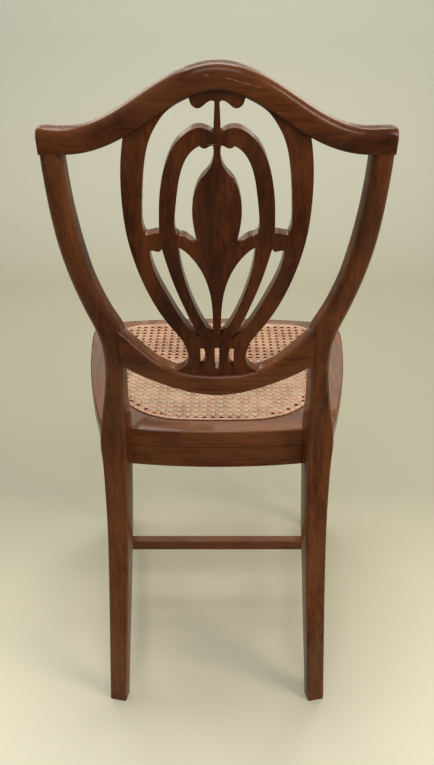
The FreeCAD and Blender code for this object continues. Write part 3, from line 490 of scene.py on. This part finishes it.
# %% Dress the woodwork
GRAIN = {
    "upright": ["rear_post_left", "rear_post_right", "splat", "front_leg_left", "front_leg_right"],
    "across": ["crest_rail", "lower_shield_rail", "seat_frame_rear", "seat_frame_front", "apron_rear",
               "apron_front", "cross_stretcher"],
    "front_to_back": ["seat_frame_left", "seat_frame_right", "apron_left", "apron_right",
                      "side_stretcher_left", "side_stretcher_right"],
}
SPECIAL = {"crest_rail": "crest", "splat": "splat"}
for direction, names in GRAIN.items():
    for name in names:
        finish = finishes[SPECIAL.get(name, direction)]
        dressed(name, finish, edge_finishes[direction])
print("dressed:", sum(len(names) for names in GRAIN.values()))

# %% [markdown]
# ## Cane
# Cane is the glossy bark of the rattan palm, split into strands about two millimetres wide. When
# new it is the colour of straw, and old varnish turns it to a pinkish brown. Its colour drifts
# slowly over the seat, and its short dark flecks run every way, so plain noise will do.

# %% Cane finish
FLECK_TONE = (0.17, 0.065, 0.035, 1)


def cane_finish():
    material, tree, shader = new_material("old_cane")
    place = object_place(tree)
    broad = noise(tree, place, (30, 30, 30), 3)
    fine = noise(tree, place, (700, 700, 700), 3)
    tone = ramp(tree, broad, [(0.30, (0.40, 0.185, 0.105)), (0.52, (0.61, 0.325, 0.190)),
                              (0.78, (0.78, 0.500, 0.325))])
    shade = blend(tree, ramp(tree, fine, [(0.35, 0.45), (0.60, 0.0)]), tone, FLECK_TONE)
    tree.links.new(shade, shader.inputs["Base Color"])
    tree.links.new(ramp(tree, fine, [(0.3, 0.46), (0.7, 0.28)]), shader.inputs["Roughness"])
    shader.inputs["Coat Weight"].default_value = 0.25
    shader.inputs["Coat Roughness"].default_value = 0.2
    return material


old_cane = cane_finish()
print("cane finish made")

# %% [markdown]
# ## The caned area
# The holes for the cane stand in one smooth line round the seat. That line is found from the plain
# sheet of the solid model: its outline, moved out by half the width of the binder. All strands are
# cut off there, because that is where a real strand turns down into its hole.

# %% Outline of the caned area
PITCH = 0.0127
BINDER_HALF = 0.003
OUTLINE_STEP = 0.004
seat_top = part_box("cane_panel")[0].z


def panel_edge():
    """The outline of the caned area, as points in order, anticlockwise."""
    spots = [Vector((v.co.x, v.co.y)) for v in nodes["cane_panel"].data.vertices]
    outline = [spots[i] for i in convex_hull_2d(spots)]
    area = sum(a.x * b.y - b.x * a.y for a, b in zip(outline, outline[1:] + outline[:1]))
    return outline if area > 0 else outline[::-1]


def even_points(outline, spacing):
    """Points at an even spacing along a closed outline."""
    sides = list(zip(outline, outline[1:] + outline[:1]))
    total = sum((b - a).length for a, b in sides)
    count = max(int(total / spacing), 3)
    spots, along, wanted = [], 0.0, 0.0
    for a, b in sides:
        run = (b - a).length
        while wanted < along + run - 1e-9 and len(spots) < count:
            spots.append(a.lerp(b, (wanted - along) / run))
            wanted += total / count
        along += run
    return spots


def moved_out(points, distance):
    """The outline moved outwards: every point along the normal of the line through its neighbours."""
    moved = []
    for i, point in enumerate(points):
        along = (points[(i + 1) % len(points)] - points[i - 1]).normalized()
        moved.append(point + Vector((along.y, -along.x)) * distance)
    return moved


peg_line = moved_out(even_points(panel_edge(), OUTLINE_STEP), BINDER_HALF)
peg_run = sum((b - a).length for a, b in zip(peg_line, peg_line[1:] + peg_line[:1]))
print("points on the line of the holes:", len(peg_line), "length:", round(peg_run, 3))

# %% [markdown]
# ## Strands by rule
# The seat is woven from strands in four directions: two layers run from back to front, two across,
# and one along each diagonal, so the gaps become small octagons. Placing every strand by hand would
# take days, but the rule is short: parallel lines at the pitch of the holes, turned, cut off at the
# outline, waved, and given a flat section. Geometry Nodes follow that rule. First come the lines.

# %% Strands, first step: parallel lines
STRAND_INPUTS = (("Region", "Object"), ("Angle", "Float"), ("Spacing", "Float"), ("Offset", "Float"),
                 ("Width", "Float"), ("Thickness", "Float"), ("Level", "Float"), ("Wave", "Float"),
                 ("Centre", "Vector"))


def vector_of(tree, **parts):
    node = tree.nodes.new("ShaderNodeCombineXYZ")
    for label, value in parts.items():
        feed(tree, node.inputs[label], value)
    return node.outputs[0]


def parallel_lines(tree, entry, rows=49, half_run=0.33):
    """Many straight lines along X, side by side in Y, cut into short steps, turned and placed."""
    row = tree.nodes.new("GeometryNodeMeshLine")
    row.mode = "OFFSET"
    row.inputs["Count"].default_value = rows
    tree.links.new(vector_of(tree, Y=entry["Spacing"]), row.inputs["Offset"])
    first = maths(tree, "ADD", maths(tree, "MULTIPLY", entry["Spacing"], -(rows - 1) / 2), entry["Offset"])
    tree.links.new(vector_of(tree, Y=first), row.inputs["Start Location"])
    line = tree.nodes.new("GeometryNodeCurvePrimitiveLine")
    line.inputs["Start"].default_value = (-half_run, 0, 0)
    line.inputs["End"].default_value = (half_run, 0, 0)
    steps = tree.nodes.new("GeometryNodeResampleCurve")
    steps.mode = "LENGTH"
    steps.inputs["Length"].default_value = PITCH / 4
    tree.links.new(line.outputs[0], steps.inputs["Curve"])
    spread = tree.nodes.new("GeometryNodeInstanceOnPoints")
    tree.links.new(row.outputs[0], spread.inputs["Points"])
    tree.links.new(steps.outputs[0], spread.inputs["Instance"])
    real = tree.nodes.new("GeometryNodeRealizeInstances")
    tree.links.new(spread.outputs[0], real.inputs[0])
    turned = tree.nodes.new("GeometryNodeTransform")
    tree.links.new(real.outputs[0], turned.inputs["Geometry"])
    tree.links.new(vector_of(tree, Z=entry["Angle"]), turned.inputs["Rotation"])
    tree.links.new(entry["Centre"], turned.inputs["Translation"])
    return turned.outputs[0]


print("inputs of the rule:", [label for label, _ in STRAND_INPUTS])

# %% [markdown]
# ## Cutting off and waving
# Every point of a line looks straight down for the outline's flat face: where it finds none, it is
# deleted. What is left rises and dips once in each pitch, as a strand does that passes over one
# neighbour and under the next.

# %% Strands, second step: cut off and wave
def cut_to_region(tree, entry, lines):
    region = tree.nodes.new("GeometryNodeObjectInfo")
    tree.links.new(entry["Region"], region.inputs["Object"])
    look = tree.nodes.new("GeometryNodeRaycast")
    look.inputs["Ray Length"].default_value = 1.0
    look.inputs["Ray Direction"].default_value = (0, 0, -1)
    tree.links.new(region.outputs["Geometry"], look.inputs["Target Geometry"])
    missed = tree.nodes.new("FunctionNodeBooleanMath")
    missed.operation = "NOT"
    tree.links.new(look.outputs["Is Hit"], missed.inputs[0])
    trimmed = tree.nodes.new("GeometryNodeDeleteGeometry")
    trimmed.domain = "POINT"
    tree.links.new(lines, trimmed.inputs["Geometry"])
    tree.links.new(missed.outputs[0], trimmed.inputs["Selection"])
    return trimmed.outputs[0]


def waved(tree, entry, lines):
    position = tree.nodes.new("GeometryNodeInputPosition").outputs[0]
    relative = vector_maths(tree, "SUBTRACT", position, entry["Centre"]).outputs[0]
    turns = vector_maths(tree, "SCALE", relative)
    turns.inputs["Scale"].default_value = 2 * math.pi / PITCH
    split = tree.nodes.new("ShaderNodeSeparateXYZ")
    tree.links.new(turns.outputs[0], split.inputs[0])
    swell = maths(tree, "MULTIPLY", maths(tree, "COSINE", split.outputs["X"]),
                  maths(tree, "COSINE", split.outputs["Y"]))
    origin = tree.nodes.new("ShaderNodeSeparateXYZ")
    tree.links.new(entry["Centre"], origin.inputs[0])
    drop = maths(tree, "SUBTRACT", entry["Level"], origin.outputs["Z"])
    lift = maths(tree, "ADD", maths(tree, "MULTIPLY", swell, entry["Wave"]), drop)
    raised = tree.nodes.new("GeometryNodeSetPosition")
    tree.links.new(lines, raised.inputs["Geometry"])
    tree.links.new(vector_of(tree, Z=lift), raised.inputs["Offset"])
    return raised.outputs[0]


print("cutting and waving ready")

# %% [markdown]
# ## The section of a strand
# A strand is a flat strip about half a millimetre thick. The waved lines are given that section,
# made real, and painted. The whole rule can then be run with other numbers for each layer, and what
# it makes is kept as a plain mesh.

# %% Strands, third step: the whole rule
def strand_rule(material):
    tree = bpy.data.node_groups.new("cane_strands", "GeometryNodeTree")
    keys = {}
    for label, kind in STRAND_INPUTS:
        socket = tree.interface.new_socket(label, in_out="INPUT", socket_type="NodeSocket" + kind)
        keys[label] = socket.identifier
    tree.interface.new_socket("Geometry", in_out="OUTPUT", socket_type="NodeSocketGeometry")
    entry = tree.nodes.new("NodeGroupInput").outputs
    leave = tree.nodes.new("NodeGroupOutput").inputs
    lines = waved(tree, entry, cut_to_region(tree, entry, parallel_lines(tree, entry)))
    upright = tree.nodes.new("GeometryNodeSetCurveNormal")
    upright.mode = "Z_UP"
    tree.links.new(lines, upright.inputs["Curve"])
    section = tree.nodes.new("GeometryNodeCurvePrimitiveQuadrilateral")
    tree.links.new(entry["Width"], section.inputs["Width"])
    tree.links.new(entry["Thickness"], section.inputs["Height"])
    strip = tree.nodes.new("GeometryNodeCurveToMesh")
    strip.inputs["Fill Caps"].default_value = True
    tree.links.new(upright.outputs[0], strip.inputs["Curve"])
    tree.links.new(section.outputs[0], strip.inputs["Profile Curve"])
    real = tree.nodes.new("GeometryNodeRealizeInstances")
    tree.links.new(strip.outputs[0], real.inputs[0])
    paint = tree.nodes.new("GeometryNodeSetMaterial")
    paint.inputs["Material"].default_value = material
    tree.links.new(real.outputs[0], paint.inputs["Geometry"])
    tree.links.new(paint.outputs[0], leave["Geometry"])
    return tree, keys


def grown(name, tree, keys, values):
    """Runs the rule with its values, and keeps the result as a plain mesh."""
    piece = put(name, bpy.data.meshes.new(name))
    rule = piece.modifiers.new("rule", "NODES")
    rule.node_group = tree
    for label, value in values.items():
        rule[keys[label]] = value
    bpy.context.view_layer.update()
    ready = piece.evaluated_get(bpy.context.evaluated_depsgraph_get())
    mesh = bpy.data.meshes.new_from_object(ready)
    piece.modifiers.clear()
    piece.data = mesh
    return piece


strands_tree, strand_keys = strand_rule(old_cane)
print("nodes in the rule:", len(strands_tree.nodes))

# %% [markdown]
# ## The weave
# The table lists the six layers from the bottom up: their direction, their spacing, how far they
# stand from the middle of the row, their width and their height above the seat. The diagonals go on
# last, and lie between the holes of the square weave.

# %% Weave the seat
STRAND_THICK = 0.0005
WAVE = 0.00025


def flat_region(outline, z):
    mesh = bpy.data.meshes.new("cane_region")
    mesh.from_pydata([(p.x, p.y, z) for p in outline], [], [list(range(len(outline)))])
    return put("cane_region", mesh)


LAYERS = [
    ("cane_back_to_front_one", 90, PITCH, -0.0017, 0.0022, 0.00050),
    ("cane_across_one", 0, PITCH, -0.0017, 0.0022, 0.00090),
    ("cane_back_to_front_two", 90, PITCH, 0.0017, 0.0022, 0.00130),
    ("cane_across_two", 0, PITCH, 0.0017, 0.0022, 0.00115),
    ("cane_diagonal_one", 45, PITCH / math.sqrt(2), PITCH / math.sqrt(8), 0.0025, 0.00150),
    ("cane_diagonal_two", -45, PITCH / math.sqrt(2), PITCH / math.sqrt(8), 0.0025, 0.00175),
]
region = flat_region(peg_line, seat_top - 0.002)
middle_y = (min(p.y for p in peg_line) + max(p.y for p in peg_line)) / 2
for name, angle, spacing, offset, width, level in LAYERS:
    piece = grown(name, strands_tree, strand_keys, {
        "Region": region, "Angle": math.radians(angle), "Spacing": spacing, "Offset": offset,
        "Width": width, "Thickness": STRAND_THICK, "Level": seat_top + level, "Wave": WAVE,
        "Centre": (0.0, middle_y, seat_top + 0.01)})
    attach(piece, "root")
    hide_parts("cane_panel")
    print(name, len(piece.data.polygons), "faces")
bpy.data.objects.remove(region)

# %% [markdown]
# ## Binder
# A wider strip of cane covers the holes all round. It is swept along the line of the holes with a
# low dome for its section, as the bark side of cane is always a little round.

# %% Binder strip
def kept_mesh(name, shape, material, smooth):
    bmesh.ops.recalc_face_normals(shape, faces=shape.faces)
    mesh = bpy.data.meshes.new(name)
    shape.to_mesh(mesh)
    shape.free()
    mesh.materials.append(material)
    for face in mesh.polygons:
        face.use_smooth = smooth
    piece = put(name, mesh)
    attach(piece, "root")
    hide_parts("cane_binder")
    return piece


def directions_at(path, i):
    """Unit vectors along the path and out of it."""
    along = (path[(i + 1) % len(path)] - path[i - 1]).normalized()
    return along, Vector((along.y, -along.x))


def binder_strip(path, section):
    """A closed tube: the section's (outward, up) points carried round the path."""
    shape = bmesh.new()
    rings = []
    for i, point in enumerate(path):
        outward = directions_at(path, i)[1]
        places = [point + outward * a for a, b in section]
        rings.append([shape.verts.new((p.x, p.y, seat_top + b)) for p, (a, b) in zip(places, section)])
    for i, here in enumerate(rings):
        there = rings[(i + 1) % len(rings)]
        for j in range(len(section)):
            k = (j + 1) % len(section)
            shape.faces.new((here[j], there[j], there[k], here[k]))
    return kept_mesh("cane_binder_strip", shape, old_cane, True)


DOME = [(-0.0027, 0.0003), (-0.0026, 0.0014), (-0.0013, 0.0021), (0.0, 0.0023),
        (0.0013, 0.0021), (0.0026, 0.0014), (0.0027, 0.0003)]
strip = binder_strip(peg_line, DOME)
print("binder faces:", len(strip.data.polygons))

# %% [markdown]
# ## Loops over the binder
# The binder is sewn down by a thin strand that comes up through each hole, over the strip and down
# again. Each loop is a small arch of five flat steps; no two are pulled equally tight, so the
# arches differ a little in width and lean.

# %% Sew the binder down
ARCH_HALF = 0.0036
ARCH = [(-ARCH_HALF, 0.0002), (-0.0029, 0.0018), (-0.0012, 0.0026),
        (0.0012, 0.0026), (0.0029, 0.0018), (ARCH_HALF, 0.0002)]
LOOP_THICK = 0.0004


def binder_loops(path):
    shape = bmesh.new()
    for i, spot in enumerate(path):
        along, outward = directions_at(path, i)
        half = 0.0010 + 0.0002 * math.sin(i * 2.7)
        lean = 0.0006 * math.sin(i * 1.9)
        rings = []
        for a, b in ARCH:
            middle = spot + outward * a + along * (lean * a / ARCH_HALF)
            ring = []
            for w, t in [(-half, 0), (half, 0), (half, LOOP_THICK), (-half, LOOP_THICK)]:
                corner = middle + along * w
                ring.append(shape.verts.new((corner.x, corner.y, seat_top + b + t)))
            rings.append(ring)
        for here, there in zip(rings, rings[1:]):
            for j in range(4):
                shape.faces.new((here[j], there[j], there[(j + 1) % 4], here[(j + 1) % 4]))
        shape.faces.new(rings[0])
        shape.faces.new(rings[-1][::-1])
    return kept_mesh("cane_binder_loops", shape, old_cane, False)


stitches = binder_loops(even_points(peg_line, PITCH))
print("loop faces:", len(stitches.data.polygons))

# %% [markdown]
# ## Paper for floor and background
# A sheet of pale paper lies on the floor and curves up behind the chair, so there is no line
# between floor and wall. Its colour holds painted light and shade: lightest at its front edge,
# darker further back over the floor, and lighter again up the wall. It ends just below the picture,
# where a darker floor starts, and polished wood mirrors them both.

# %% Floor and backdrop
PAPER_START = 0.47
PAPER_RUN = 4.0
# Painted light and shade on the paper: lightest at its front edge and high on the wall, darker in between.
# The first stop is the darker floor in front of the sheet.
FLOOR_TONE_AND_PAINTED_LIGHT = [
    (0.0, (0.20, 0.18, 0.14)), (0.026, (0.76, 0.74, 0.60)), (0.11, (0.60, 0.58, 0.45)),
    (0.20, (0.40, 0.39, 0.30)), (0.53, (0.42, 0.41, 0.32)), (0.93, (0.74, 0.75, 0.66)),
]
PAPER_HALF_WIDTH = 3.5


def paper_with_painted_light():
    """Tones with painted light and shade, by the way along the sheet: back over the floor, then up the wall.
    """
    material, tree, shader = new_material("studio_paper")
    split = tree.nodes.new("ShaderNodeSeparateXYZ")
    tree.links.new(object_place(tree), split.inputs[0])
    back = maths(tree, "DIVIDE", maths(tree, "SUBTRACT", PAPER_START, split.outputs["Y"]), PAPER_RUN)
    place = maths(tree, "ADD", back, maths(tree, "DIVIDE", split.outputs["Z"], PAPER_RUN))
    tone = ramp(tree, place, FLOOR_TONE_AND_PAINTED_LIGHT)
    tree.links.new(tone, shader.inputs["Base Color"])
    shader.inputs["Roughness"].default_value = 0.9
    return material


def paper_profile(steps=12, front=2.4, bend=-1.6, size=0.8, top=3.5):
    profile = [(front, 0.0), (bend, 0.0)]
    for i in range(1, steps + 1):
        angle = math.pi / 2 * i / steps
        profile.append((bend - size * math.sin(angle), size - size * math.cos(angle)))
    return profile + [(bend - size, top)]


profile = paper_profile()
paper_mesh = bpy.data.meshes.new("studio_paper")
paper_mesh.from_pydata([(x, y, z) for y, z in profile for x in (-PAPER_HALF_WIDTH, PAPER_HALF_WIDTH)], [],
                       [(2 * i, 2 * i + 1, 2 * i + 3, 2 * i + 2) for i in range(len(profile) - 1)])
paper_mesh.materials.append(paper_with_painted_light())
for face in paper_mesh.polygons:
    face.use_smooth = True
paper = put("studio_paper", paper_mesh)
paper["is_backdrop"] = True
print("paper faces:", len(paper_mesh.polygons))

# %% [markdown]
# ## Lamps
# Large lamps make soft shadows and long, quiet highlights. One hangs over the chair and draws the
# bright line along the round of the top rail. Two stand beyond it, one high and one low, where the
# seat and the hollow of the shield mirror them. One fills in from near and one from the right.

# %% Lights
def lamp(name, place, target, size, power, tint=(1.0, 0.98, 0.94)):
    data = bpy.data.lights.new(name, "AREA")
    data.shape = "RECTANGLE"
    data.size, data.size_y = size
    data.energy = power
    data.color = tint
    light = put(name, data)
    light.location = place
    light.rotation_euler = (Vector(target) - Vector(place)).to_track_quat("-Z", "Y").to_euler()
    light.visible_camera = False


lamp("over_lamp", (0.2, -0.60, 2.7), (0.0, 0.1, 0.6), (1.7, 0.6), 30)
lamp("far_high_lamp", (0.0, -1.75, 2.75), (0.0, 0.15, 0.6), (2.6, 0.5), 26, (1.0, 0.93, 0.82))
lamp("far_low_lamp", (0.0, -2.05, 1.55), (0.0, 0.1, 0.5), (3.0, 0.7), 11, (1.0, 0.88, 0.72))
lamp("near_lamp", (0.0, 1.9, 2.5), (0.0, 0.1, 0.4), (1.8, 1.2), 24)
lamp("side_lamp", (-1.9, 1.0, 1.75), (0.0, 0.1, 0.85), (0.9, 1.3), 24, (1.0, 0.88, 0.74))
AIR_TINT = (0.92, 0.93, 0.86, 1)
AIR_STRENGTH = 0.30
world = bpy.data.worlds.new("studio_air")
bpy.context.scene.world = world
world.use_nodes = True
air = world.node_tree.nodes["Background"].inputs
air["Color"].default_value = AIR_TINT
air["Strength"].default_value = AIR_STRENGTH
print("lamps:", len(bpy.data.lights))

# %% [markdown]
# ## Sizes at the end
# Both boxes, of the solid chair and of the dressed one, are printed, so that they can be compared.

# %% Sizes and finish
shown_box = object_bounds()
for label, box in (("solid", solid_box), ("shown", shown_box)):
    print(label, [[round(c, 4) for c in v] for v in box])
